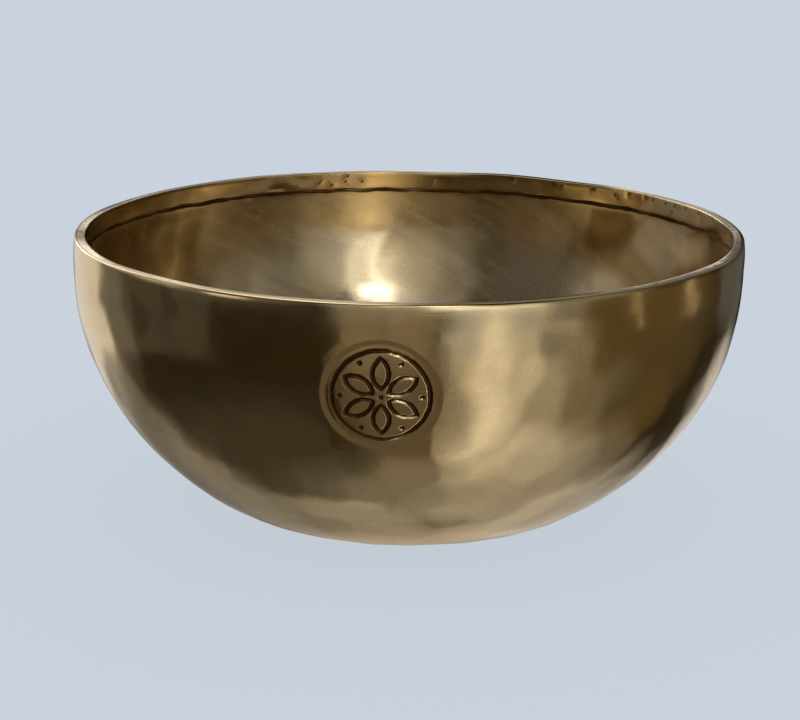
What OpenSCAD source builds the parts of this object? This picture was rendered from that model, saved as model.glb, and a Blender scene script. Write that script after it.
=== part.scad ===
// Hand-hammered bronze singing bowl: one piece of metal with a thick flat lip, a groove
// cut under the inner edge of the lip, a small flat base and a round stamp in the wall.
// The origin is the centre of the flat base, +Z is up, and the stamp is on the -Y side.

/* [Size] */
// Outer diameter across the lip
lip_d = 230; // [180:1:300]
// Thickness of the flat lip
lip_t = 3.7; // [3:0.1:5]
// Thickness of the wall and base below the lip groove
wall_t = 3.3; // [2.5:0.1:3.5]

/* [Wall curve] */
// How far the wall leans inward at the lip, in degrees past upright
lip_lean = 7.5; // [4:0.5:10]
// Radius of the belly, the upper curve, as a share of the lip's radius
belly_share = 0.78; // [0.7:0.01:0.82]
// Slope of the wall where the belly ends, in degrees from level
belly_end = 48; // [44:1:52]
// Radius of the flank, the flatter curve under the belly, as a share of the lip's radius
flank_share = 1.07; // [1:0.01:1.15]
// Slope of the wall where the flank ends, in degrees from level
flank_end = 36.5; // [32:0.5:38]
// Radius of the heel, which turns the wall into the base, as a share of the lip's radius
heel_share = 0.43; // [0.38:0.01:0.46]

/* [Lip] */
// Rounding of the lip's outer corner
outer_round = 0.9; // [0.5:0.1:1.2]
// Rounding of the lip's inner corner
inner_round = 0.5; // [0.3:0.1:0.8]
// Depth of the groove's centre line below the top of the lip
groove_drop = 7.4; // [5:0.1:10]
// Width of the groove
groove_w = 1.1; // [0.8:0.1:1.4]
// Depth of the groove, measured from the lip's inner face
groove_depth = 0.9; // [0.7:0.1:1.1]

/* [Stamp] */
// Diameter of the sunken round field
stamp_d = 35; // [28:1:40]
// Height of the stamp's centre below the top of the lip
stamp_drop = 28.5; // [26:0.5:34]
// Turn of the stamp away from the front, toward -X, in degrees
stamp_turn = 4; // [-15:1:15]
// Depth of the sunken field
field_depth = 0.35; // [0.2:0.05:0.5]
// Depth of the stamped lines below the bowl's surface
line_depth = 0.9; // [0.7:0.1:1.2]
// Width of the stamped lines
line_w = 1.1; // [0.8:0.1:1.4]
// Number of petals in the rosette
petals = 6; // [5:1:8]

/* [Hidden] */
$fn = 180;

bronze = "#a88a52";
lip_r = lip_d / 2;
lip_tilt = 90 + lip_lean;
belly_r = belly_share * lip_r;
flank_r = flank_share * lip_r;
heel_r = heel_share * lip_r;
clear = 2;  // how far a cutting shape reaches past the metal

// The wall is a chain of three arcs that run into each other, from the lip down to the base.
// Each arc's centre is [distance from the axis, height]. The base is at height 0.
bowl_h = belly_r * (cos(belly_end) - cos(lip_tilt))
       + flank_r * (cos(flank_end) - cos(belly_end))
       + heel_r * (1 - cos(flank_end));
belly_c = [lip_r - belly_r * sin(lip_tilt), bowl_h + belly_r * cos(lip_tilt)];
flank_c = belly_c + (belly_r - flank_r) * [sin(belly_end), -cos(belly_end)];
heel_c = flank_c + (flank_r - heel_r) * [sin(flank_end), -cos(flank_end)];

// Heights at which one arc takes over from the next, on the surface that lies depth inside
function belly_low(depth) = belly_c.y - (belly_r - depth) * cos(belly_end);
function flank_low(depth) = flank_c.y - (flank_r - depth) * cos(flank_end);

// Distance from the axis to the belly's surface that lies depth inside, at height z
function belly_x(depth, z) = belly_c.x + sqrt(pow(belly_r - depth, 2) - pow(z - belly_c.y, 2));

// The lip's corners are small circles that touch the top and the wall
outer_c = [belly_x(outer_round, bowl_h - outer_round), bowl_h - outer_round];
inner_c = [belly_x(lip_t - inner_round, bowl_h - inner_round), bowl_h - inner_round];

groove_z = bowl_h - groove_drop;
groove_c = [belly_x(lip_t - groove_depth + groove_w / 2, groove_z), groove_z];

// The stamp's centre lies on the belly, where the wall slopes stamp_slope degrees from level
stamp_z = bowl_h - stamp_drop;
stamp_slope = acos((belly_c.y - stamp_z) / belly_r);
stamp_x = belly_x(0, stamp_z);
stamp_h = 24;  // length of the stamp's cutting prisms, centred on the wall

ring_r = 0.87 * stamp_d / 2;
petal_tip = 0.74 * stamp_d / 2;
petal_root = 0.12 * stamp_d / 2;
petal_w = 0.17 * stamp_d / 2;  // half of a petal's width
dot_r = 0.6 * line_w;

// Height z at which a small circle round a centre c meets a bigger arc round the belly's centre
function touch_z(c, r) = c.y + r * (c.y - belly_c.y) / norm(c - belly_c);

// The part of a disc that lies right of the axis, between two heights
module disc_slice(centre, r, low, high) {
    intersection() {
        translate(centre) circle(r);
        translate([0, low]) square([2 * lip_r, high - low]);
    }
}

// Half of the bowl's solid outline, made smaller by depth all round, up to the height top
module outline(depth, top) {
    disc_slice(belly_c, belly_r - depth, belly_low(depth), top);
    disc_slice(flank_c, flank_r - depth, flank_low(depth), belly_low(depth));
    disc_slice(heel_c, heel_r - depth, depth, flank_low(depth));
    translate([0, depth]) square([heel_c.x, flank_low(depth) - depth]);
}

// Half of the bowl as if it were solid, with the lip's outer corner rounded
module outside() {
    outline(0, touch_z(outer_c, outer_round));
    translate(outer_c) circle(outer_round);
    translate([0, outer_c.y]) square([outer_c.x, outer_round]);
}

// Half of the hollow: the wall's inside, the thicker lip, its rounded corner and the groove
module hollow() {
    outline(wall_t, groove_z);
    outline(lip_t, bowl_h + clear);
    translate(groove_c) circle(groove_w / 2);
    difference() {
        corner_z = touch_z(inner_c, -inner_round);
        translate([0, corner_z]) square([inner_c.x, bowl_h + clear - corner_z]);
        translate(inner_c) circle(inner_round);
    }
}

// One petal's outline, a pointed oval standing on the centre line
module petal() {
    half = (petal_tip - petal_root) / 2;
    arc_r = (half * half + petal_w * petal_w) / (2 * petal_w);
    translate([0, petal_root + half]) difference() {
        oval(arc_r, arc_r - petal_w);
        oval(arc_r - line_w, arc_r - petal_w);
    }
}

// Where two circles overlap, with their centres offset to either side
module oval(r, offset_x) {
    intersection() {
        translate([offset_x, 0]) circle(r);
        translate([-offset_x, 0]) circle(r);
    }
}

// The stamp's lines: a ring round a rosette, with a dot in the middle and between the petals
module stamp_lines() {
    difference() {
        circle(ring_r);
        circle(ring_r - line_w);
    }
    circle(dot_r);
    for (i = [0 : petals - 1]) {
        rotate(i * 360 / petals) petal();
        rotate((i + 0.5) * 360 / petals) translate([0, petal_tip - dot_r]) circle(dot_r);
    }
}

// Cuts a flat pattern into the wall at the stamp, down to an even depth
module stamp_cut(depth) {
    difference() {
        rotate(-stamp_turn)
            translate([0, -stamp_x, stamp_z])
            rotate([180 - stamp_slope, 0, 0])
            linear_extrude(stamp_h, center = true) children();
        rotate_extrude() outline(depth, bowl_h);
    }
}

module bowl() {
    color(bronze) difference() {
        rotate_extrude() difference() {
            outside();
            hollow();
        }
        stamp_cut(field_depth) circle(stamp_d / 2);
        stamp_cut(line_depth) stamp_lines();
    }
}

bowl();
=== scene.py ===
"""A hand-hammered singing bowl: the mesh, its bronze, and a plain soft-lit studio.

Lengths are in metres and angles in degrees unless a name says otherwise. The bowl's size comes from the
frame. Its shape repeats the proportions of the CAD part, to which hammer marks, tool marks and wear are
added. An azimuth is counted from -Y, where the stamp is, toward +X.
"""

import math
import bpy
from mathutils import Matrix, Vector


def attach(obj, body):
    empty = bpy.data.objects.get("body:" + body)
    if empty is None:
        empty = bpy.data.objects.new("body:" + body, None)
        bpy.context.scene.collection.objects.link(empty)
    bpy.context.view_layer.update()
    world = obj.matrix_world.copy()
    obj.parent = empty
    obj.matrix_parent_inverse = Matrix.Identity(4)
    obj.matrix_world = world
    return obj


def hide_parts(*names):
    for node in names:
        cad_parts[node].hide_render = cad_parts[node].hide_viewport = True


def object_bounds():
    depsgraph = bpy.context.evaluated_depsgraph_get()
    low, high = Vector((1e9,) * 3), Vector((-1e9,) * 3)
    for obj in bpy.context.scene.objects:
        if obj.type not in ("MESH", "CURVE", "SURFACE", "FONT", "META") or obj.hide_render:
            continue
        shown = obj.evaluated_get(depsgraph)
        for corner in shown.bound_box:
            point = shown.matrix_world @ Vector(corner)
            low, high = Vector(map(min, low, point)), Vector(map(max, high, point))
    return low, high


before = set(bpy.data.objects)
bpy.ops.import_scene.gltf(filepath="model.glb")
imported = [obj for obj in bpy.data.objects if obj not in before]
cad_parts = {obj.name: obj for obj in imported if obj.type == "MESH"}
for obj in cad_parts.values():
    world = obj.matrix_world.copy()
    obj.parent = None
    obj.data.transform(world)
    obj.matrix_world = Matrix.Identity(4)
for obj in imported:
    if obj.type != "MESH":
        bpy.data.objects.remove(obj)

from types import SimpleNamespace

import bmesh
import bpy
import numpy as np
from mathutils import Matrix

CAD_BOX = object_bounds()
MM = 0.001
rng = np.random.RandomState(7)

# The bowl's proportions. The wall is three arcs, whose radii are shares of the lip's radius.
LIP_LEAN = 7.5  # how far the wall leans inward at the lip
BELLY, BELLY_END = 0.78, 48  # the upper arc, and the wall's slope from level where it ends
FLANK, FLANK_END = 1.07, 36.5  # the flatter arc under it
HEEL = 0.43  # the arc that turns the wall into the base
LIP_T, WALL_T = 3.7 * MM, 3.3 * MM
OUTER_ROUND, INNER_ROUND = 0.9 * MM, 0.5 * MM
GROOVE_DROP, GROOVE_W, GROOVE_DEPTH = 7.4 * MM, 1.1 * MM, 0.9 * MM
STAMP_R, STAMP_DROP, STAMP_TURN = 17.5 * MM, 28.5 * MM, 4
FIELD_DEPTH, LINE_DEPTH, LINE_W = 0.35 * MM, 0.9 * MM, 1.1 * MM
PETALS = 6


def sind(a):
    return np.sin(np.radians(a))


def cosd(a):
    return np.cos(np.radians(a))


def smooth(x, low, high):
    """0 below low, 1 above high, and smooth between."""
    t = np.clip((x - low) / (high - low), 0, 1)
    return t * t * (3 - 2 * t)


# --- The wall's section: three arcs that run into each other ------------------------------------

HEIGHT = CAD_BOX[1].z
TOP = 90 + LIP_LEAN  # the wall's slope at the lip
HEIGHT_SHARE = (
    BELLY * (cosd(BELLY_END) - cosd(TOP))
    + FLANK * (cosd(FLANK_END) - cosd(BELLY_END))
    + HEEL * (1 - cosd(FLANK_END))
)
LIP_R = HEIGHT / HEIGHT_SHARE
BELLY_R, FLANK_R, HEEL_R = BELLY * LIP_R, FLANK * LIP_R, HEEL * LIP_R
BELLY_C = np.array([LIP_R - BELLY_R * sind(TOP), HEIGHT + BELLY_R * cosd(TOP)])
FLANK_C = BELLY_C + (BELLY_R - FLANK_R) * np.array([sind(BELLY_END), -cosd(BELLY_END)])
HEEL_C = FLANK_C + (FLANK_R - HEEL_R) * np.array([sind(FLANK_END), -cosd(FLANK_END)])


def belly_x(depth, z):
    """Distance from the axis to the belly's surface that lies depth inside the metal, at height z."""
    return BELLY_C[0] + math.sqrt((BELLY_R - depth) ** 2 - (z - BELLY_C[1]) ** 2)


def belly_slope(x, z):
    """Slope of the wall, from level, beside a point of the belly."""
    return math.degrees(math.atan2(x - BELLY_C[0], BELLY_C[1] - z))


def arc(centre, r, start, end, n, inward=False):
    """n rows along an arc, its end left out, as places and normals in the (radius, height) plane."""
    t = np.linspace(start, end, n, endpoint=False)
    normal = np.stack([sind(t), -cosd(t)], 1)
    return np.array(centre) + r * normal, -normal if inward else normal


def line(a, b, n):
    """n rows along a straight line, its end left out, with normals to the right of the way along it."""
    t = np.linspace(0, 1, n, endpoint=False)[:, None]
    a, b = np.array(a), np.array(b)
    along = (b - a) / np.linalg.norm(b - a)
    return a + t * (b - a), np.repeat([[along[1], -along[0]]], n, 0)


# --- Rows and columns of the mesh -----------------------------------------------------------------

ROW = 2.0 * MM  # how far apart the rows are on the wall
BASE_COLUMNS, WALL_COLUMNS, LIP_COLUMNS = 180, 360, 720
PATCH = 20  # the stamp's square of fine mesh takes this many wall rows and columns
SPLIT = 7  # and each of them is split into this many
POLE_R = 3 * MM  # where the mesh closes with a fan round the axis
MERGE = 2e-6  # vertices closer than this become one
EDGE_TURN = 0.5  # the turn from the groove's edges to the rows beside them
GROOVE_FULL = 0.7  # below 1, the groove's section is fuller than half an ellipse
GROOVE_LEAN = 0.4  # how far the groove's normals lean toward the bowl's axis
TIE = 1e-3  # of rows that are equally high, the one farthest out counts as the highest

STAMP_Z = HEIGHT - STAMP_DROP
STAMP_X = belly_x(0, STAMP_Z)
STAMP_SLOPE = belly_slope(STAMP_X, STAMP_Z)
PATCH_HALF = math.degrees(PATCH * ROW / 2 / BELLY_R)
PATCH_LOW, PATCH_HIGH = STAMP_SLOPE - PATCH_HALF, STAMP_SLOPE + PATCH_HALF
ROW_TURN = 2 * PATCH_HALF / PATCH
COLUMN_TURN = 360 / WALL_COLUMNS
FIRST_COLUMN = -STAMP_TURN - PATCH / 2 * COLUMN_TURN

OUTER_C = (belly_x(OUTER_ROUND, HEIGHT - OUTER_ROUND), HEIGHT - OUTER_ROUND)
INNER_C = (belly_x(LIP_T - INNER_ROUND, HEIGHT - INNER_ROUND), HEIGHT - INNER_ROUND)
OUTER_TOUCH = belly_slope(*OUTER_C)
INNER_TOUCH = belly_slope(*INNER_C)
GROOVE_Z = HEIGHT - GROOVE_DROP
GROOVE_TOP, GROOVE_LOW = GROOVE_Z + GROOVE_W / 2, GROOVE_Z - GROOVE_W / 2
BAND_END = belly_slope(belly_x(LIP_T, GROOVE_TOP), GROOVE_TOP)
WALL_START = belly_slope(belly_x(WALL_T, GROOVE_LOW), GROOVE_LOW)


def rows_for(r, degrees):
    """How many rows an arc of the wall takes."""
    return max(2, round(math.radians(degrees) * r / ROW))


def groove_rows(n=9):
    """Rows down the groove, from the lip's band to the wall below it."""
    turn = np.linspace(0, 180, n, endpoint=False)
    bottom = belly_x(LIP_T - GROOVE_DEPTH, GROOVE_Z)
    edge = np.linspace(belly_x(LIP_T, GROOVE_TOP), belly_x(WALL_T, GROOVE_LOW), n, endpoint=False)
    depth = sind(turn) ** GROOVE_FULL
    place = np.stack([edge + (bottom - edge) * depth, GROOVE_Z + GROOVE_W / 2 * cosd(turn)], 1)
    normal = np.stack([-sind(turn) - GROOVE_LEAN, -cosd(turn)], 1)
    return place, normal / np.linalg.norm(normal, axis=1, keepdims=True)


def profile():
    """The bowl's section from the middle of the underside, up the outside and down the inside.

    Gives each row's place and outward normal in the (radius, height) plane, how many columns it has, and
    the number of the row where the stamp's patch starts. Each stretch of the section below has its number
    of columns, then its line or arc with its number of rows.
    """
    belly, flank, heel = BELLY_R - WALL_T, FLANK_R - WALL_T, HEEL_R - WALL_T
    band_r = BELLY_R - LIP_T
    half_heel = FLANK_END / 2
    lip_start = PATCH_HIGH + ROW_TURN
    below_lip = WALL_START - 3 * ROW_TURN
    heel_rows = rows_for(HEEL_R, half_heel)
    flank_rows = rows_for(FLANK_R, BELLY_END - FLANK_END)
    low_belly_rows = rows_for(BELLY_R, PATCH_LOW - BELLY_END)
    inner_rows = rows_for(belly, below_lip - BELLY_END)
    pieces = [
        (BASE_COLUMNS, line((POLE_R, 0), (HEEL_C[0], 0), 12)),
        (BASE_COLUMNS, arc(HEEL_C, HEEL_R, 0, half_heel, heel_rows)),
        (WALL_COLUMNS, arc(HEEL_C, HEEL_R, half_heel, FLANK_END, heel_rows)),
        (WALL_COLUMNS, arc(FLANK_C, FLANK_R, FLANK_END, BELLY_END, flank_rows)),
        (WALL_COLUMNS, arc(BELLY_C, BELLY_R, BELLY_END, PATCH_LOW, low_belly_rows)),
        (WALL_COLUMNS, arc(BELLY_C, BELLY_R, PATCH_LOW, PATCH_HIGH, PATCH)),
        (WALL_COLUMNS, arc(BELLY_C, BELLY_R, PATCH_HIGH, lip_start, 2)),
        (LIP_COLUMNS, arc(BELLY_C, BELLY_R, lip_start, OUTER_TOUCH, 5)),
        (LIP_COLUMNS, arc(OUTER_C, OUTER_ROUND, OUTER_TOUCH, 180, 5)),
        (LIP_COLUMNS, line((OUTER_C[0], HEIGHT), (INNER_C[0], HEIGHT), 4)),
        (LIP_COLUMNS, arc(INNER_C, INNER_ROUND, 180, 180 + INNER_TOUCH, 4)),
        (LIP_COLUMNS, arc(BELLY_C, band_r, INNER_TOUCH, BAND_END + EDGE_TURN, 5, inward=True)),
        (LIP_COLUMNS, arc(BELLY_C, band_r, BAND_END + EDGE_TURN, BAND_END, 2, inward=True)),
        (LIP_COLUMNS, groove_rows()),
        (LIP_COLUMNS, arc(BELLY_C, belly, WALL_START, WALL_START - EDGE_TURN, 2, inward=True)),
        (LIP_COLUMNS, arc(BELLY_C, belly, WALL_START - EDGE_TURN, below_lip, 4, inward=True)),
        (WALL_COLUMNS, arc(BELLY_C, belly, below_lip, BELLY_END, inner_rows, inward=True)),
        (WALL_COLUMNS, arc(FLANK_C, flank, BELLY_END, FLANK_END, 12, inward=True)),
        (WALL_COLUMNS, arc(HEEL_C, heel, FLANK_END, half_heel, 7, inward=True)),
        (BASE_COLUMNS, arc(HEEL_C, heel, half_heel, 0, 7, inward=True)),
        (BASE_COLUMNS, line((HEEL_C[0], WALL_T), (POLE_R, WALL_T), 16)),
    ]
    place = np.concatenate([rows[0] for _, rows in pieces])
    normal = np.concatenate([rows[1] for _, rows in pieces])
    columns = np.concatenate([[n] * len(rows[0]) for n, rows in pieces])
    patch_row = sum(len(rows[0]) for _, rows in pieces[:5])
    return place, normal, columns, patch_row


def azimuths(n):
    """The azimuths of n columns."""
    return FIRST_COLUMN + np.arange(n) * 360 / n


def band(a, b):
    """Faces between two rings of vertices, where one ring may have twice as many as the other."""
    if len(a) == len(b):
        return [np.stack([a, np.roll(a, -1), np.roll(b, -1), b], 1)]
    if len(b) > len(a):
        a1, even, odd = np.roll(a, -1), b[::2], b[1::2]
        even1 = np.roll(even, -1)
        return [np.stack([a, odd, even], 1), np.stack([a, a1, odd], 1), np.stack([a1, even1, odd], 1)]
    b1, even, odd = np.roll(b, -1), a[::2], a[1::2]
    even1 = np.roll(even, -1)
    return [np.stack([even, odd, b], 1), np.stack([odd, b1, b], 1), np.stack([odd, even1, b1], 1)]


def fan(a, b, chain):
    """Triangles from the edge a-b to a chain of vertices that runs from beside a to beside b."""
    m = len(chain) // 2
    pairs = list(zip(chain[1:], chain[:-1]))
    return [(a, *p) for p in pairs[:m]] + [(a, b, chain[m])] + [(b, *p) for p in pairs[m:]]


def patch_faces(rings, fine, row):
    """The stamp's fine square, and the fans that join it to the rings of the wall round it."""
    quads = np.stack([fine[:-1, :-1], fine[:-1, 1:], fine[1:, 1:], fine[1:, :-1]], -1)
    faces = quads.reshape(-1, 4).tolist()
    for k in range(PATCH):
        span = slice(k * SPLIT, (k + 1) * SPLIT + 1)
        low, high = rings[row - 1], rings[row + PATCH + 1]
        left = rings[row + k + 1][-1], rings[row + k][-1]
        right = rings[row + k][PATCH + 1], rings[row + k + 1][PATCH + 1]
        faces += fan(low[k], low[k + 1], list(fine[0, span]))
        faces += fan(high[k + 1], high[k], list(fine[-1, span][::-1]))
        faces += fan(*left, list(fine[span, 0][::-1]))
        faces += fan(*right, list(fine[span, -1]))
    return faces


def wall_faces(rings, row):
    """All quads and triangles between the rings, but for the stamp's square and the quads round it."""
    faces = []
    for i in range(len(rings) - 1):
        for part in band(rings[i], rings[i + 1]):
            keep = np.ones(len(part), bool)
            if row <= i < row + PATCH:
                keep[: PATCH + 1] = False
                keep[-1] = False
            elif i in (row - 1, row + PATCH):
                keep[:PATCH] = False
            faces += part[keep].tolist()
    return faces


def bowl_grid():
    """Each vertex's place and normal in the (radius, height) plane, its azimuth, and the faces."""
    place, normal, columns, row = profile()
    ends = np.cumsum(columns)
    rings = [np.arange(end - n, end) for end, n in zip(ends, columns)]
    slope = np.linspace(PATCH_LOW, PATCH_HIGH, PATCH * SPLIT + 1)
    across = FIRST_COLUMN + np.linspace(0, PATCH * COLUMN_TURN, PATCH * SPLIT + 1)
    fine = ends[-1] + np.arange(len(slope) ** 2).reshape(len(slope), -1)
    fine_normal = np.repeat(np.stack([sind(slope), -cosd(slope)], 1), len(across), 0)
    poles = fine[-1, -1] + np.array([1, 2])

    flat_place = np.concatenate([
        np.repeat(place, columns, 0), BELLY_C + BELLY_R * fine_normal, [(0, 0), (0, WALL_T)]])
    flat_normal = np.concatenate([np.repeat(normal, columns, 0), fine_normal, [(0, -1), (0, 1)]])
    azimuth = np.concatenate([*[azimuths(n) for n in columns], np.tile(across, len(slope)), [0, 0]])
    faces = wall_faces(rings, row) + patch_faces(rings, fine, row)
    first, last = rings[0], rings[-1]
    faces += np.stack([np.full(len(first), poles[0]), np.roll(first, -1), first], 1).tolist()
    faces += np.stack([last, np.roll(last, -1), np.full(len(last), poles[1])], 1).tolist()
    outer_corner = np.argmax(place[:, 1] + TIE * place[:, 0])
    is_inner = np.repeat(np.arange(len(place)) > outer_corner, columns)
    inner = np.concatenate([is_inner, np.zeros(fine.size, bool), [False, True]])
    return flat_place, flat_normal, azimuth, inner, faces


# --- Hand work: hammer marks, waviness, the lip's wear, the groove and the stamp --------------------

MARK_GAP = 14 * MM  # between two hammer blows
RIDGE_OUT, RIDGE_IN = 0.085 * MM, 0.05 * MM  # height of the ridges between them, outside and inside
WAVE_OUT, WAVE_IN = 0.15 * MM, 0.16 * MM  # height of the wall's waviness, outside and inside
LONG_WAVE, SHORT_WAVE = 55 * MM, 24 * MM
LIP_WAVE, LIP_WORN = 0.10 * MM, 0.12 * MM  # how uneven the lip is, and how much lower than when new
TOP_GRAIN = 0.003 * MM  # roughness of the lip's flat top
GROOVE_WANDER, GROOVE_UNEVEN = 0.13 * MM, 0.15 * MM  # how far its line and its depth stray
BURR, BURR_REACH = 0.09 * MM, 0.35 * MM  # the burrs on the groove's lower edge
NICK_WIDTH, NICK_DEPTH = 2.0 * MM, 0.3 * MM
PIT_WIDTH, PIT_DEPTH = 3.0 * MM, 0.16 * MM
PIT_AZIMUTHS = (-170, -166.5, -163.5, -161, 174, 134, 118, 22)

RING_R = 0.87 * STAMP_R
PETAL_TIP, PETAL_ROOT, PETAL_HALF_W = 0.74 * STAMP_R, 0.12 * STAMP_R, 0.17 * STAMP_R
DOT_R = 0.6 * LINE_W

# Patches by azimuth, depth below the lip, half width in degrees, half height and strength. They are
# painted dark reflections, rougher worn metal painted pale as painted light, painted glints, a painted
# bright reflection, and evenly worked parts of the wall.
# The next four tables are painted dark reflections: on the inner wall, the band above the groove, the lip
# and the outside.
PAINTED_DARK_INSIDE = (
    (-110, 16 * MM, 16, 19 * MM, 1.0),
    (-130, 22 * MM, 7, 22 * MM, 0.9),
    (136, 13 * MM, 6, 13 * MM, 1.0),
    (144, 18 * MM, 4, 16 * MM, 0.4),
)
PAINTED_DARK_BAND = (
    (141, 3 * MM, 10, 5 * MM, 0.8),
    (-131, 3 * MM, 6, 5 * MM, 0.6),
    (-112, 3 * MM, 9, 5 * MM, 0.6),
)
PAINTED_DARK_LIP = (
    (-118, 0, 20, 1.5 * MM, 1.0),
    (153, 0, 16, 1.5 * MM, 0.9),
    (62, 0, 32, 1.5 * MM, 0.7),
)
PAINTED_DARK_OUTSIDE = (
    (-46.5, 11.5 * MM, 2, 4 * MM, 0.5),
    (-40, 9.5 * MM, 2.2, 5 * MM, 0.5),
)
# Rougher worn patches, painted pale as painted light where the wall and band show light
WORN_PAINTED_LIGHT_INSIDE = (
    (117, 18 * MM, 12, 12 * MM, 1.0),
    (112, 3 * MM, 20, 4 * MM, 0.9),
    (-151, 2 * MM, 12, 3 * MM, 0.5),
    (-166, 3 * MM, 5, 4 * MM, 0.6),
)
# Painted glints: short bright strokes along the groove's upper edge
PAINTED_GLINTS = (
    (-141, 6.3 * MM, 2.2, 0.6 * MM, 1.0),
    (-151, 6.3 * MM, 2.2, 0.6 * MM, 1.0),
)
# A painted bright reflection down the inner back wall
PAINTED_REFLECTION_INSIDE = ((-171, 43 * MM, 6, 32 * MM, 1.0), )
EVEN_INSIDE = ((-171, 45 * MM, 12, 40 * MM, 0.6), )


def turned(place, azimuth):
    """Places or directions in the (radius, height) plane, turned round the axis to their azimuths."""
    return np.stack([place[:, 0] * sind(azimuth), -place[:, 0] * cosd(azimuth), place[:, 1]], 1)


def waves(points, length, n=14):
    """Smooth noise in space with a spread of about 1, whose bumps are about length apart."""
    way = rng.normal(size=(n, 3))
    way /= np.linalg.norm(way, axis=1, keepdims=True)
    k = way * 2 * math.pi / length * rng.uniform(0.7, 1.3, (n, 1))
    phase = rng.uniform(0, 2 * math.pi, n)
    return np.sin(points @ k.T + phase).sum(1) * math.sqrt(2 / n)


def ripple(azimuth, low, high, n=12):
    """Smooth noise round the bowl with a spread of about 1, of low to high waves a turn."""
    count = rng.randint(low, high + 1, n)
    phase = rng.uniform(0, 360, n)
    return sind(np.outer(azimuth, count) + phase).sum(1) * math.sqrt(2 / n)


def nicks(azimuth, spots, width):
    """1 at each spot round the lip and 0 beside it, for marks about width wide."""
    half = math.degrees(width / 2 / LIP_R)
    away = np.full(len(azimuth), np.inf)
    for a in spots:
        off = np.abs((azimuth - a + 180) % 360 - 180)
        away = np.minimum(away, off / half)
    return 1 - smooth(away, 0.2, 1.3)


def patches(azimuth, drop, places):
    """How strongly each point is covered by some soft-edged patches, from 0 to 1."""
    total = np.zeros(len(azimuth))
    for a, depth, half_a, half_z, strength in places:
        off = (azimuth - a + 180) % 360 - 180
        away = np.hypot(off / half_a, (drop - depth) / half_z)
        total = np.maximum(total, strength * (1 - smooth(away, 0.6, 1.4)))
    return total


class Skin:
    """Every vertex's place, its outward direction, and where on the turned bowl it started."""

    def __init__(self, place, normal, azimuth, inner):
        self.points, self.out = turned(place, azimuth), turned(normal, azimuth)
        self.r, self.drop = place[:, 0], HEIGHT - place[:, 1]
        self.azimuth, self.inner = azimuth, inner


def mark_centres(inner):
    """Hammer blows over one side of the wall, in uneven rings that start a little below the lip."""
    depth = WALL_T if inner else 0
    arcs = (
        (BELLY_C, BELLY_R - depth, TOP - 5, BELLY_END),
        (FLANK_C, FLANK_R - depth, BELLY_END, FLANK_END),
        (HEEL_C, HEEL_R - depth, FLANK_END, 0),
    )
    places = np.concatenate([arc(c, r, a, b, 200)[0] for c, r, a, b in arcs])
    if inner:
        places = np.concatenate([places, line((HEEL_C[0], WALL_T), (0, WALL_T), 100)[0]])
    along = np.concatenate([[0], np.cumsum(np.linalg.norm(np.diff(places, axis=0), axis=1))])
    centres = []
    for d in np.arange(0, along[-1], 0.85 * MARK_GAP):
        r, z = np.interp(d, along, places[:, 0]), np.interp(d, along, places[:, 1])
        n = max(1, round(2 * math.pi * r / MARK_GAP))
        turn = (np.arange(n) + rng.uniform() + rng.uniform(-0.22, 0.22, n)) * 360 / n
        jitter = rng.uniform(-0.25, 0.25, (n, 1)) * MARK_GAP * np.array([0.3, 1])
        centres.append(turned(np.array([r, z]) + jitter, turn))
    return np.concatenate(centres)


def hammered(points, centres, ridge):
    """Height of a surface struck with a round-faced hammer: a shallow dish round each centre.

    ridge is how high the ridge is between two dishes that lie 13 mm apart.
    """
    half_gap = 6.5 * MM
    ball = half_gap ** 2 / (2 * ridge)
    uneven, soft = 0.6 * ridge, 0.15 * ridge
    total = np.zeros(len(points))
    for c, lift in zip(centres, rng.uniform(0, uneven, len(centres))):
        total += np.exp(-(((points - c) ** 2).sum(1) / (2 * ball) + lift) / soft)
    return -soft * np.log(total)


def wall_work(skin):
    """How far hammering moves each vertex of the wall. It fades out toward the lip, groove and base."""
    heel = HEEL_C[0]
    outside = ~skin.inner * smooth(skin.drop, 2 * MM, 12 * MM) * smooth(skin.r, heel, heel + 12 * MM)
    inside = skin.inner * smooth(skin.drop, GROOVE_DROP + 1 * MM, GROOVE_DROP + 8 * MM)
    inside *= 1 - patches(skin.azimuth, skin.drop, EVEN_INSIDE)
    # Each side, how much of the work its vertices get, and how high its ridges and waves are
    sides = ((False, outside, RIDGE_OUT, WAVE_OUT), (True, inside, RIDGE_IN, WAVE_IN))
    shift = np.zeros(len(skin.points))
    for inner, wall, ridge, wave in sides:
        side = skin.inner == inner
        marks = np.zeros(len(skin.points))
        marks[side] = hammered(skin.points[side], mark_centres(inner), ridge)
        marks[side] -= marks[side].mean()
        uneven = wave * waves(skin.points, LONG_WAVE) + 0.4 * wave * waves(skin.points, SHORT_WAVE)
        shift += wall * (marks + uneven)
    return shift


def lip_work(skin):
    """Makes the lip uneven and a little lower, and gives its top a grain."""
    near_lip = 1 - smooth(skin.drop, 4 * MM, 16 * MM)
    skin.points[:, 2] += near_lip * (LIP_WAVE * ripple(skin.azimuth, 3, 14) - LIP_WORN)
    top = 1 - smooth(skin.drop, 0.2 * MM, 1.2 * MM)
    return top * TOP_GRAIN * waves(skin.points, 5 * MM)


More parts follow.
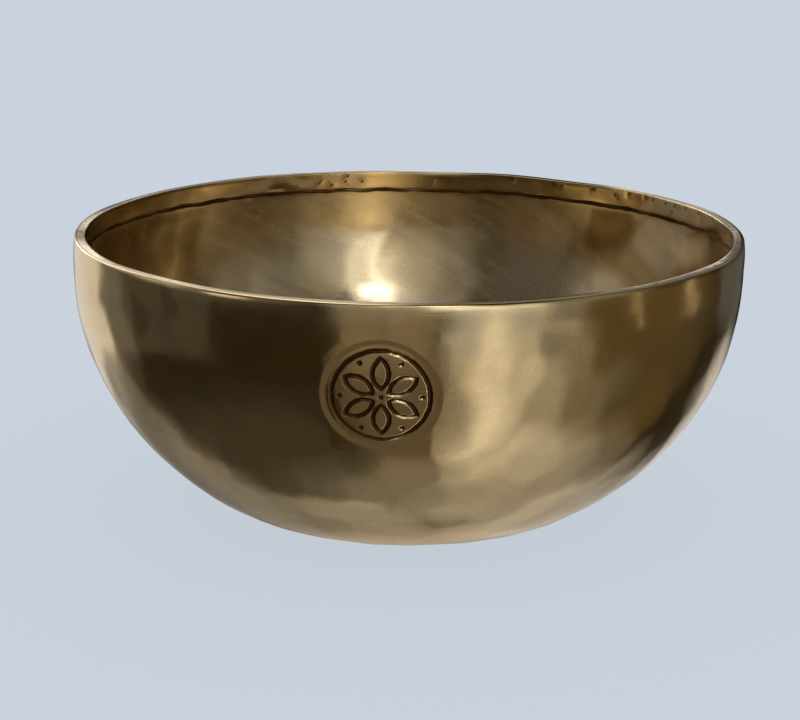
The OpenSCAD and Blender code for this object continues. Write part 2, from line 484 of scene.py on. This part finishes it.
def groove_work(skin):
    """Makes the groove wander and uneven. Gives the shift, its ragged edges and the burrs under it."""
    off = skin.drop - GROOVE_DROP
    bottom = skin.inner * (1 - smooth(np.abs(off), 0.35 * GROOVE_W, 0.62 * GROOVE_W))
    beside = skin.inner * np.exp(-(off / (2 * GROOVE_W)) ** 2)
    ragged = 1 + 0.22 * ripple(skin.azimuth, 20, 110)
    away = np.abs(off - 0.2 * GROOVE_W) / ragged
    edges = skin.inner * (1 - smooth(away, 0.4 * GROOVE_W, 0.8 * GROOVE_W))
    burrs = skin.inner * np.exp(-((off - GROOVE_W / 2) / BURR_REACH) ** 2)
    skin.points[:, 2] += beside * GROOVE_WANDER * ripple(skin.azimuth, 8, 50)
    skin.points[:, 2] -= burrs * BURR * np.abs(ripple(skin.azimuth, 60, 170))
    return -bottom * GROOVE_UNEVEN * ripple(skin.azimuth, 20, 90), edges, burrs


def nick_work(skin):
    """Nicks the lip's inner corner and pits the band above the groove. Gives the shift, nicks and pits."""
    spots = np.concatenate([rng.uniform(108, 152, 11), rng.uniform(60, 230, 5)])
    nick = nicks(skin.azimuth, spots, NICK_WIDTH)
    nick *= skin.inner * np.exp(-((skin.drop - 1.4 * MM) / (0.9 * MM)) ** 2)
    pit = nicks(skin.azimuth, PIT_AZIMUTHS, PIT_WIDTH)
    pit_drop = 3.8 * MM + 0.9 * MM * ripple(skin.azimuth, 60, 140)
    pit *= skin.inner * np.exp(-((skin.drop - pit_drop) / (0.7 * MM)) ** 2)
    return -NICK_DEPTH * nick - PIT_DEPTH * pit, nick, pit


def stamp_frame():
    """The stamp's middle, and the directions across it and up it."""
    az = np.array([-STAMP_TURN])
    middle = turned(np.array([[STAMP_X, STAMP_Z]]), az)[0]
    out = turned(np.array([[sind(STAMP_SLOPE), -cosd(STAMP_SLOPE)]]), az)[0]
    across = np.array([cosd(-STAMP_TURN), sind(-STAMP_TURN), 0])
    return middle, across, np.cross(out, across)


def stamp_lines(u, v):
    """Distance from the middle of the nearest stamped line: a ring round a six-petalled rosette."""
    half = (PETAL_TIP - PETAL_ROOT) / 2
    petal_r = (half ** 2 + PETAL_HALF_W ** 2) / (2 * PETAL_HALF_W)
    off = petal_r - PETAL_HALF_W
    dot = DOT_R - LINE_W / 2
    r = np.hypot(u, v)
    near = np.minimum(np.abs(r - RING_R + LINE_W / 2), r - dot)
    for i in range(2 * PETALS):
        a = i * 180 / PETALS
        s, t = u * cosd(a) + v * sind(a), -u * sind(a) + v * cosd(a)
        if i % 2:
            near = np.minimum(near, np.hypot(s, t - (PETAL_TIP - DOT_R)) - dot)
        else:
            rise = t - PETAL_ROOT - half
            edge = np.maximum(np.hypot(s - off, rise), np.hypot(s + off, rise)) - petal_r
            near = np.minimum(near, np.abs(edge + LINE_W / 2))
    return near


def stamp_work(skin):
    """Sinks the stamp's field and lines. Gives the shift, the patina in the lines and the rubbed edges."""
    middle, across, up = stamp_frame()
    u, v = (skin.points - middle) @ across, (skin.points - middle) @ up
    front = ~skin.inner * (skin.points[:, 1] < 0)
    within = np.hypot(u, v) < STAMP_R
    field = front * (1 - smooth(np.hypot(u, v), STAMP_R - 1.3 * MM, STAMP_R + 0.9 * MM))
    near = stamp_lines(u, v) + 0.05 * MM * waves(skin.points, 2.5 * MM)
    lines = front * within * (1 - smooth(near, 0.18 * LINE_W, 0.62 * LINE_W))

    # The level stretches of the lines right of the stamp's middle are rubbed clean
    step = 0.1 * MM
    slope = np.abs(stamp_lines(u, v + step) - stamp_lines(u, v - step)) / (2 * step)
    rubbed = smooth(slope, 0.7, 0.95) * smooth(u, 0, 5 * MM)
    stained = front * within * (1 - smooth(near, 0.5 * LINE_W, 0.85 * LINE_W))
    stained *= 1 - 0.9 * rubbed * smooth(near, 0.1 * LINE_W, 0.4 * LINE_W)
    return -FIELD_DEPTH * field - (LINE_DEPTH - FIELD_DEPTH) * lines, stained, rubbed * front


def painted_darkening_shares(skin, by_hand):
    """How much painted darkening each vertex has: painted dark reflections in patches, and a soft darker
    band along the groove. by_hand is its azimuth and its depth below the lip.
    """
    # A soft darker band along both sides of the groove
    halo = 0.6 * skin.inner * np.exp(-((skin.drop - GROOVE_DROP) / (1.5 * MM)) ** 2)
    below = below_groove(skin) * patches(*by_hand, PAINTED_DARK_INSIDE)
    inside = np.where(skin.drop > GROOVE_DROP, below, patches(*by_hand, PAINTED_DARK_BAND))
    either = np.where(skin.inner, np.maximum(halo, inside), patches(*by_hand, PAINTED_DARK_OUTSIDE))
    return np.maximum(patches(skin.azimuth, skin.drop, PAINTED_DARK_LIP), either)


def below_groove(skin):
    """1 on the inside of the wall and 0 on the lip, its band and the outside."""
    return skin.inner * smooth(skin.drop, GROOVE_DROP - 1 * MM, GROOVE_DROP + 3 * MM)


def hand_work(skin):
    """Works the turned shape by hand. Gives each vertex's new place and what the bronze needs to know."""
    shift = wall_work(skin)
    shift += lip_work(skin)
    groove, edges, burrs = groove_work(skin)
    nicked, nick, pit = nick_work(skin)
    shift += groove + nicked
    stamped, stained, rubbed = stamp_work(skin)
    shift += stamped

    # Where patches lie: off by about 3 degrees and 2 mm, so that their edges wander
    sideways, down = 3 * waves(skin.points, 25 * MM), 2 * MM * waves(skin.points, 25 * MM)
    by_hand = skin.azimuth + sideways, skin.drop + down
    worn = np.maximum(patches(*by_hand, WORN_PAINTED_LIGHT_INSIDE), patches(skin.azimuth, skin.drop, PAINTED_GLINTS))
    groove_dirt = edges * (0.6 + 0.15 * ripple(skin.azimuth, 3, 40))
    inner_corner = np.exp(-(np.hypot(skin.r - INNER_C[0], skin.drop) / (0.9 * MM)) ** 2)
    outer_corner = np.exp(-(np.hypot(skin.r - LIP_R, skin.drop) / (1.5 * MM)) ** 2)
    looks = {
        "cavity": np.clip(groove_dirt + 0.4 * burrs + stained + 0.8 * nick + 0.9 * pit, 0, 1),
        "wear": np.clip(0.9 * outer_corner + 0.8 * inner_corner + rubbed, 0, 1),
        "stain": painted_darkening_shares(skin, by_hand),
        "worn": skin.inner * (1 - np.clip(edges + burrs, 0, 1)) * worn,
        "bright": skin.inner * patches(*by_hand, PAINTED_REFLECTION_INSIDE),
        "inside": below_groove(skin),
    }
    return skin.points + skin.out * shift[:, None], looks


def new_piece(name, mesh, material):
    """Puts a mesh in the scene, all of one material."""
    piece = bpy.data.objects.new(name, mesh)
    bpy.context.scene.collection.objects.link(piece)
    mesh.materials.append(material)
    return piece


def make_bowl(material):
    """The bowl as one closed mesh. What the bronze needs to know is stored on its vertices."""
    place, normal, azimuth, inner, faces = bowl_grid()
    points, looks = hand_work(Skin(place, normal, azimuth, inner))
    mesh = bpy.data.meshes.new("singing_bowl")
    mesh.from_pydata(points.tolist(), [], faces)
    for name, values in looks.items():
        mesh.attributes.new(name, "FLOAT", "POINT").data.foreach_set("value", values.astype(np.float32))
    edit = bmesh.new()
    edit.from_mesh(mesh)
    bmesh.ops.remove_doubles(edit, verts=edit.verts, dist=MERGE)
    # The vertices of the wall's rings inside the stamp's square have no faces
    bmesh.ops.delete(edit, geom=[v for v in edit.verts if not v.link_faces], context="VERTS")
    edit.to_mesh(mesh)
    edit.free()
    mesh.shade_smooth()
    return new_piece("singing_bowl", mesh, material)


# --- Node helpers -------------------------------------------------------------------------------------

class Tree:
    """A node tree, with short calls for the nodes that are used often."""

    def __init__(self, tree):
        self.nodes, self.links = tree.nodes, tree.links
        self.nodes.clear()

    def add(self, kind, inputs=None, **settings):
        node = self.nodes.new(kind)
        for name, value in settings.items():
            setattr(node, name, value)
        for name, value in (inputs or {}).items():
            self.set(node.inputs[name], value)
        return node

    def set(self, socket, value):
        if isinstance(value, bpy.types.NodeSocket):
            self.links.new(value, socket)
        else:
            socket.default_value = value

    def math(self, operation, *values, clamp=False):
        inputs = dict(enumerate(values))
        return self.add("ShaderNodeMath", inputs, operation=operation, use_clamp=clamp).outputs[0]

    def vector(self, operation, inputs):
        return self.add("ShaderNodeVectorMath", inputs, operation=operation).outputs

    def ramp(self, value, low, high, start=0.0, end=1.0):
        """start where value is below low, end where it is above high, and smooth between."""
        inputs = {0: value, 1: low, 2: high, 3: start, 4: end}
        return self.add("ShaderNodeMapRange", inputs, interpolation_type="SMOOTHSTEP").outputs[0]

    def noise(self, place, scale, detail, roughness=0.5, distortion=0.0):
        inputs = {"Vector": place, "Scale": scale, "Detail": detail}
        inputs |= {"Roughness": roughness, "Distortion": distortion}
        return self.add("ShaderNodeTexNoise", inputs).outputs["Fac"]

    def mix(self, factor, a, b):
        """The mix of two colours, each a socket or a plain (red, green, blue)."""
        a, b = ((*c, 1) if isinstance(c, tuple) else c for c in (a, b))
        return self.add("ShaderNodeMix", {0: factor, 6: a, 7: b}, data_type="RGBA").outputs[2]

    def attribute(self, name):
        return self.add("ShaderNodeAttribute", attribute_name=name).outputs["Fac"]


# --- Bronze ---------------------------------------------------------------------------------------------

POLISHED = (0.83, 0.63, 0.34)
HONEY = (0.66, 0.48, 0.24)
OLIVE = (0.56, 0.47, 0.30)
INSIDE = (0.68, 0.54, 0.335)
INSIDE_DARK = (0.50, 0.39, 0.215)
# Painted dark reflections, and the darker band along the groove
PAINTED_DARK_BROWN = (0.22, 0.145, 0.05)
# Pale worn metal, also used as painted light
PALE_WEAR_AND_PAINTED_LIGHT = (0.96, 0.80, 0.53)
# A painted bright reflection
PAINTED_REFLECTION_GOLD = (0.95, 0.76, 0.48)
PATINA = (0.10, 0.048, 0.015)

# Scales of the noises, in bumps a metre
CLOUD, DULL_SPOT, BLOTCH, PATCH_SPOT = 26, 34, 38, 70
SCUFF, MOTTLE, SPECK = 130, 240, 1300
TURNING_ACROSS, TURNING_ALONG = 1500.0, 5.0  # fine marks left by the lathe, which run round the bowl
STROKE_ACROSS, STROKE_ALONG = 170.0, 14.0  # soft polishing strokes, which run at a slant
STROKE_RISE, STROKE_FALL = 0.055, -0.115  # their two directions: metres of height a radian
GRAIN_DEPTH = 0.02 * MM


def bronze_masks(t, place):
    """Noises and shares, from 0 to 1, that say which finish the metal has at each point."""
    names = ("cavity", "wear", "inside", "stain", "worn", "bright")
    m = SimpleNamespace(**{name: t.attribute(name) for name in names})
    m.patch = t.noise(place, PATCH_SPOT, 2, 0.5, 0.3)
    m.mottle = t.noise(place, MOTTLE, 4, 0.6)
    m.speck = t.noise(place, SPECK, 2, 0.6)
    m.blotch = t.ramp(t.noise(place, BLOTCH, 1.5, 0.5, 0.3), 0.38, 0.66)
    m.worn = t.math("MULTIPLY", m.worn, t.ramp(m.patch, 0.3, 0.65, 0.65, 1.0))
    add_tool_marks(t, place, m)
    add_tarnish(t, place, m)
    pits = t.math("MULTIPLY", t.ramp(m.speck, 0.66, 0.8), t.ramp(m.mottle, 0.5, 0.62, 0.0, 0.3))
    pits = t.math("MULTIPLY", pits, t.ramp(m.inside, 0.0, 1.0, 1.0, 0.2))
    m.dark = t.math("MAXIMUM", t.ramp(m.cavity, 0.15, 0.75), pits)
    return m


def add_tool_marks(t, place, m):
    """Turning marks all over, soft polishing strokes inside, and faint scuffs outside near the base."""
    xyz = t.add("ShaderNodeSeparateXYZ", {0: place}).outputs
    turn = t.math("ARCTAN2", xyz[0], xyz[1])
    level = t.vector("MULTIPLY", {0: place, 1: (1, 1, 0)})[0]
    radius = t.vector("LENGTH", {0: level})["Value"]
    around = t.add("ShaderNodeCombineXYZ", {
        0: t.math("MULTIPLY", turn, TURNING_ALONG),
        1: t.math("MULTIPLY", xyz[2], TURNING_ACROSS),
        2: t.math("MULTIPLY", radius, TURNING_ACROSS),
    }).outputs[0]
    m.turning = t.noise(around, 1.0, 3, 0.6)

    slanted = t.add("ShaderNodeCombineXYZ", {
        0: t.math("MULTIPLY", t.math("MULTIPLY_ADD", turn, STROKE_RISE, xyz[2]), STROKE_ACROSS),
        1: t.math("MULTIPLY", t.math("MULTIPLY_ADD", turn, STROKE_FALL, xyz[2]), STROKE_ALONG),
    }).outputs[0]
    strokes = t.ramp(t.noise(slanted, 1.0, 2, 0.6), 0.35, 0.75, 0.0, 0.3)
    brushed = t.math("MULTIPLY", m.inside, strokes)
    brushed = t.math("MULTIPLY", brushed, t.ramp(radius, 0.025, 0.075))

    scuffs = t.ramp(t.noise(place, SCUFF, 3, 0.6, 0.3), 0.53, 0.72, 0.0, 0.6)
    scuffs = t.math("MULTIPLY", scuffs, t.ramp(xyz[2], 0.0, 0.05, 1.0, 0.0))
    m.scuffs = t.math("MULTIPLY", scuffs, t.ramp(m.inside, 0.0, 1.0, 1.0, 0.0))
    m.scoured = t.math("MAXIMUM", m.scuffs, brushed)


def add_tarnish(t, place, m):
    """Cloudy tarnish and dull spots, thinner where the metal is rubbed or has the painted bright
    reflection.
    """
    tarnish = t.ramp(t.noise(place, CLOUD, 3, 0.55, 0.4), 0.42, 0.66)
    tarnish = t.math("MULTIPLY", tarnish, t.ramp(m.patch, 0.3, 0.7, 0.45, 1.0))
    tarnish = t.math("MULTIPLY", tarnish, t.ramp(m.mottle, 0.3, 0.7, 0.7, 1.0), clamp=True)
    clean = t.math("MULTIPLY", t.ramp(m.wear, 0.1, 0.8, 1.0, 0.1), t.ramp(m.bright, 0.0, 1.0, 1.0, 0.1))
    clean = t.math("MULTIPLY", clean, t.ramp(m.inside, 0.0, 1.0, 1.0, 0.5))
    m.tarnish = t.math("MULTIPLY", tarnish, clean)
    dull = t.ramp(t.noise(place, DULL_SPOT, 2, 0.5, 0.4), 0.52, 0.72, 0.0, 0.75)
    m.dull = t.math("MULTIPLY", dull, t.ramp(m.wear, 0.0, 1.0, 1.0, 0.0))


def bronze_colour(t, m):
    """The polished metal's colour, under one finish after another: tarnish, wear and patina, and painted
    reflections, glints and dark reflections.
    """
    colour = t.mix(m.inside, POLISHED, t.mix(m.blotch, INSIDE, INSIDE_DARK))
    # Painted bright reflection on the inner back wall
    colour = t.mix(m.bright, colour, PAINTED_REFLECTION_GOLD)
    # Pale worn metal: real scuffs and polishing strokes, and patches painted pale as painted light, with
    # painted glints
    colour = t.mix(t.math("MAXIMUM", m.worn, m.scoured), colour, PALE_WEAR_AND_PAINTED_LIGHT)
    colour = t.mix(m.tarnish, colour, HONEY)
    colour = t.mix(m.dull, colour, OLIVE)
    colour = t.mix(t.ramp(m.speck, 0.35, 0.65, 0.0, 0.2), colour, OLIVE)
    # Painted dark reflections in patches, and a soft darker band along the groove
    colour = t.mix(t.math("MULTIPLY", m.stain, 0.9), colour, PAINTED_DARK_BROWN)
    return t.mix(m.dark, colour, PATINA)


def bronze_roughness(t, m):
    """The polished metal's roughness, and what each finish adds to it or takes off."""
    rough = t.ramp(m.mottle, 0.3, 0.7, 0.09, 0.13)
    rough = t.math("MULTIPLY_ADD", m.inside, t.ramp(m.blotch, 0.0, 1.0, 0.06, 0.11), rough)
    finishes = (
        (m.tarnish, 0.07),
        (m.dull, 0.08),
        (m.bright, -0.1),
        (m.worn, 0.3),
        (m.turning, 0.05),
        (m.scoured, 0.18),
        (m.dark, 0.36),
    )
    for share, more in finishes:
        rough = t.math("MULTIPLY_ADD", share, more, rough)
    return rough


def make_bronze():
    """Polished bell bronze with a thin cloudy tarnish, fine turning marks, dark patina in its cuts, and
    painted reflections, glints and dark reflections in patches.
    """
    material = bpy.data.materials.new("bronze")
    material.use_nodes = True
    t = Tree(material.node_tree)
    m = bronze_masks(t, t.add("ShaderNodeTexCoord").outputs["Object"])
    grain = t.math("MULTIPLY", m.mottle, t.ramp(m.inside, 0.0, 1.0, 0.9, 0.3))
    height = t.math("MULTIPLY_ADD", m.turning, 0.5, grain)
    bump = t.add("ShaderNodeBump", {"Strength": 1.0, "Distance": GRAIN_DEPTH, "Height": height})
    shader = t.add("ShaderNodeBsdfPrincipled", {
        "Base Color": bronze_colour(t, m),
        "Metallic": t.ramp(t.math("MAXIMUM", m.scuffs, m.worn), 0.0, 1.0, 1.0, 0.85),
        "Roughness": bronze_roughness(t, m),
        "Normal": bump.outputs[0],
    })
    t.add("ShaderNodeOutputMaterial", {"Surface": shader.outputs[0]}, target="ALL")
    return material


# --- Studio -----------------------------------------------------------------------------------------------

PALE = (0.59, 0.651, 0.723)  # the floor, and the backdrop that it runs into
ROOM = (0.026, 0.020, 0.010)  # what the metal mirrors where no panel is
NEUTRAL = (1.0, 1.0, 1.0)
WARM = (1.0, 0.86, 0.66)
AMBER = (1.0, 0.74, 0.36)
COOL = (0.90, 1.0, 1.10)
FLOOR_GLOW = 0.9  # how much of the floor's light is its own, so that shadows on it stay faint
FLOOR_SIDE = 12.0  # half the floor's width

# Soft panels round the bowl, seen only as reflections in the metal. Each has the azimuth of its middle,
# its half width, its lower and upper elevation, how soft its edges are, its strength and its colour.
PANELS = (
    # Below the horizon, for the outside of the bowl
    (-142, 18, -24, 12, 3, 0.48, NEUTRAL),
    (-150, 27, -31, 8, 6, 0.23, NEUTRAL),
    (-117, 8, -27, -2, 4, 0.09, NEUTRAL),
    (-155, 34, -54, -34, 7, 0.20, NEUTRAL),
    (-92, 25, -26, 30, 2, 0.040, NEUTRAL),
    (-100, 60, -84, -40, 12, 0.03, NEUTRAL),
    (-6, 16, -26, 0, 7, 0.18, WARM),
    (0, 26, -80, -24, 8, 0.09, WARM),
    (24.5, 8.5, -36, 6, 4, 0.58, NEUTRAL),
    (27.5, 8, -67, -36, 5, 0.54, NEUTRAL),
    (36, 9, -72, 6, 6, 0.42, NEUTRAL),
    (50, 11, -78, -20, 6, 0.30, NEUTRAL),
    (50, 9, -22, 2, 4, 0.16, NEUTRAL),
    (70, 12, -60, -27, 6, 0.09, NEUTRAL),
    (78, 26, -84, -46, 9, 0.10, NEUTRAL),
    (107, 57, -80, -50, 9, 0.31, NEUTRAL),
    (88, 32, -48, 6, 8, 0.07, AMBER),
    (79, 1.3, -13, 1, 1, 0.35, WARM),
    (105, 2, -14, 1, 1.5, 0.42, WARM),
    (142, 16, -17, 5, 3, 0.08, COOL),
    (165, 22, -27, -18, 3, 0.55, NEUTRAL),
    (172, 14, -36, -24, 4, 0.22, NEUTRAL),
    (154, 18, -58, -40, 5, 0.28, NEUTRAL),
    (161.5, 10.5, -43, -30, 3.5, 0.22, NEUTRAL),
    (178, 14, -60, -34, 8, 0.24, WARM),
    (-162, 26, -80, -57, 8, 0.24, NEUTRAL),
    (0, 180, -100, -68, 9, 0.06, NEUTRAL),
    (0, 180, -100, -76, 9, 0.11, NEUTRAL),
    # Above it, for the inside and the lip
    (17, 10, 0, 62, 2.5, 0.80, NEUTRAL),
    (19, 7, 6, 12, 3, 0.14, NEUTRAL),
    (8.5, 6, 16, 62, 3, 0.30, NEUTRAL),
    (15.6, 6.2, 33.8, 38, 0.8, 3.6, NEUTRAL),
    (2, 13, 8, 60, 4, 0.45, NEUTRAL),
    (-16, 12, 8, 60, 5, 0.28, NEUTRAL),
    (0, 24, -2, 9, 4, 0.22, NEUTRAL),
    (35, 8, -2, 34, 3, 0.48, NEUTRAL),
    (62, 24, 0, 40, 6, 0.14, NEUTRAL),
    (-58, 22, 0, 40, 8, 0.10, NEUTRAL),
    (-61, 7, 2, 7.5, 2, 1.0, NEUTRAL),
    (-130, 45, 55, 90, 7, 0.90, NEUTRAL),
    (-146, 7, 2, 56, 3, 2.20, NEUTRAL),
    (-118, 24, 3, 56, 6, 0.24, NEUTRAL),
    (-90, 10, 0, 36, 5, 0.36, NEUTRAL),
    (-168, 12, 16, 60, 4, 0.62, NEUTRAL),
    (-115, 48, 60, 90, 6, 0.70, NEUTRAL),
    (-171, 9, 11.7, 17, 0.9, 0.45, NEUTRAL),
    (-169, 4, 12.1, 15, 0.7, 1.15, NEUTRAL),
    (171.8, 2.2, 6, 11, 1.2, 1.4, NEUTRAL),
    (-179, 2, 6, 11, 1.2, 0.9, NEUTRAL),
    (155, 22, 15, 60, 4, 0.26, NEUTRAL),
    (100, 40, 6, 60, 8, 0.10, NEUTRAL),
)


def make_world():
    """A pale backdrop for the camera, even light for the floor, and the panels for the metal."""
    world = bpy.data.worlds.new("studio")
    bpy.context.scene.world = world
    world.use_nodes = True
    world.cycles.sampling_method = "NONE"  # only reflected rays look for the panels
    t = Tree(world.node_tree)
    way = t.add("ShaderNodeSeparateXYZ", {0: t.add("ShaderNodeTexCoord").outputs["Generated"]}).outputs
    azimuth = t.math("DEGREES", t.math("ARCTAN2", way[0], t.math("MULTIPLY", way[1], -1.0)))
    elevation = t.math("DEGREES", t.math("ARCSINE", way[2]))
    light = ROOM
    for middle, half, low, high, soft, strength, colour in PANELS:
        away = t.math("ABSOLUTE", t.math("WRAP", t.math("SUBTRACT", azimuth, middle), 180.0, -180.0))
        mask = t.ramp(away, half - soft, half + soft, strength, 0.0)
        mask = t.math("MULTIPLY", mask, t.ramp(elevation, low - soft, low + soft))
        mask = t.math("MULTIPLY", mask, t.ramp(elevation, high - soft, high + soft, 1.0, 0.0))
        panel = t.vector("SCALE", {0: colour, "Scale": mask})[0]
        light = t.vector("ADD", {0: light, 1: panel})[0]
    rays = t.add("ShaderNodeLightPath").outputs
    seen = t.mix(rays["Is Camera Ray"], (1.0, 1.0, 1.0), PALE)
    seen = t.mix(rays["Is Glossy Ray"], seen, light)
    background = t.add("ShaderNodeBackground", {"Color": seen, "Strength": 1.0})
    t.add("ShaderNodeOutputWorld", {"Surface": background.outputs[0]})


def make_floor():
    """A plain pale floor. The metal doesn't mirror it: the panels light the bowl from below as well."""
    material = bpy.data.materials.new("floor")
    material.use_nodes = True
    t = Tree(material.node_tree)
    shader = t.add("ShaderNodeBsdfDiffuse", {"Color": (*PALE, 1)})
    even = t.add("ShaderNodeEmission", {"Color": (*PALE, 1), "Strength": 1.0})
    both = t.add("ShaderNodeMixShader", {0: FLOOR_GLOW, 1: shader.outputs[0], 2: even.outputs[0]})
    t.add("ShaderNodeOutputMaterial", {"Surface": both.outputs[0]})
    mesh = bpy.data.meshes.new("floor")
    ways = ((-1, -1), (1, -1), (1, 1), (-1, 1))
    corners = [(x * FLOOR_SIDE, y * FLOOR_SIDE, 0) for x, y in ways]
    mesh.from_pydata(corners, [], [(0, 1, 2, 3)])
    floor = new_piece("floor", mesh, material)
    floor.visible_glossy = False
    floor.visible_shadow = False


def make_camera():
    """A hand-held viewpoint in front of the bowl and a little above its lip."""
    distance, elevation = 5.5 * LIP_R, 11.36
    pitch, yaw, roll = 15.61, -0.26, 0.49
    data = bpy.data.cameras.new("camera")
    data.sensor_width = 36  # millimetres, like the lens
    data.lens = 81.45
    camera = bpy.data.objects.new("camera", data)
    bpy.context.scene.collection.objects.link(camera)
    place = Matrix.Translation((0, -distance * cosd(elevation), HEIGHT + distance * sind(elevation)))
    aim = Matrix.Rotation(math.radians(-yaw), 4, "Z") @ Matrix.Rotation(math.radians(90 - pitch), 4, "X")
    camera.matrix_world = place @ aim @ Matrix.Rotation(math.radians(roll), 4, "Z")
    bpy.context.scene.camera = camera


def main():
    make_camera()
    make_world()
    make_floor()
    bpy.context.scene.view_settings.view_transform = "Standard"
    bowl = make_bowl(make_bronze())
    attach(bowl, "root")
    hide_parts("bowl")
    print("bowl triangles:", sum(len(p.vertices) - 2 for p in bowl.data.polygons))


main()
